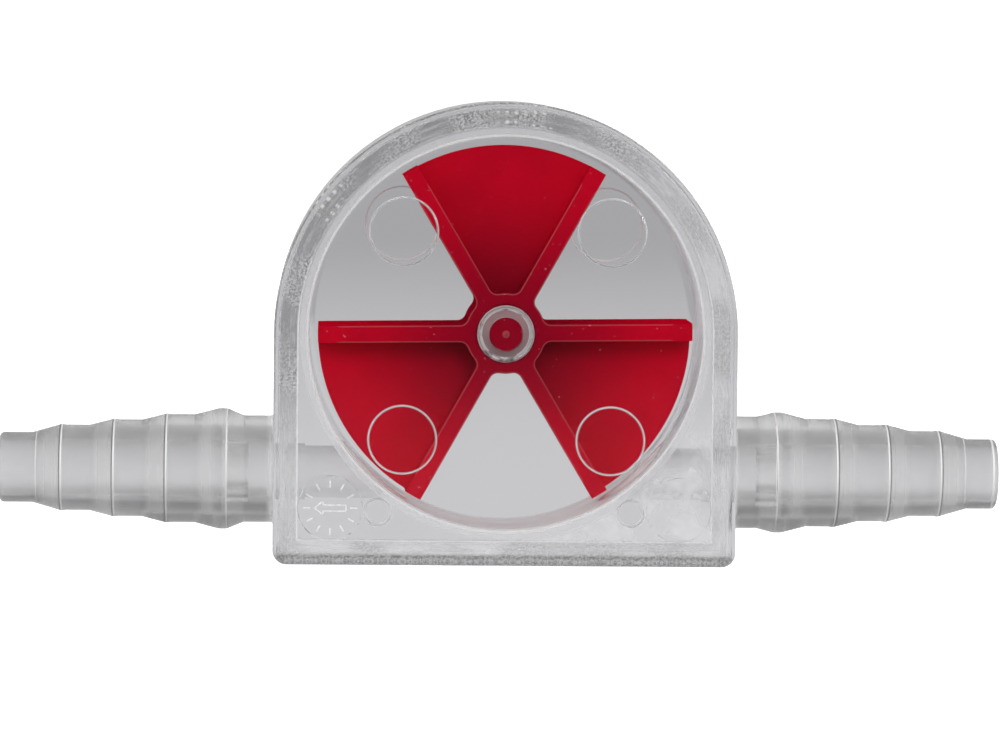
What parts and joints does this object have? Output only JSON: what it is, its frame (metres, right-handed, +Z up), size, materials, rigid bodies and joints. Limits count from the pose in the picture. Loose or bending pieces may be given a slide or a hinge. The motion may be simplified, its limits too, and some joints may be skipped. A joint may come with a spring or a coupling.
{
  "type": "flow indicator",
  "caption": "Clear D-shaped hose-line flow indicator with a spinning red paddle rotor behind its window and a stepped hose nozzle on each side.",
  "frame": {"origin": "centre of the whole length and depth, on the flat base", "axes": "+X along the nozzles to the right as seen from the window, -Y out of the window, +Z up from the base"},
  "size_m": [0.0924, 0.0154, 0.0424],
  "materials": {
    "clear_plastic": "clear moulded plastic with a polished surface",
    "window_plastic": "clear moulded window with a polished surface",
    "red_plastic": "moulded red plastic with a soft shine"
  },
  "bodies": {
    "housing": {"rear_housing": "clear_plastic", "front_cover": "window_plastic"},
    "rotor": {"rotor": "red_plastic"}
  },
  "joints": [
    {"name": "rotor_spin", "type": "hinge", "parent": "housing", "child": "rotor", "pos_m": [0.0003, 0, 0.0212], "axis": [0, -1, 0], "continuous": true}
  ]
}
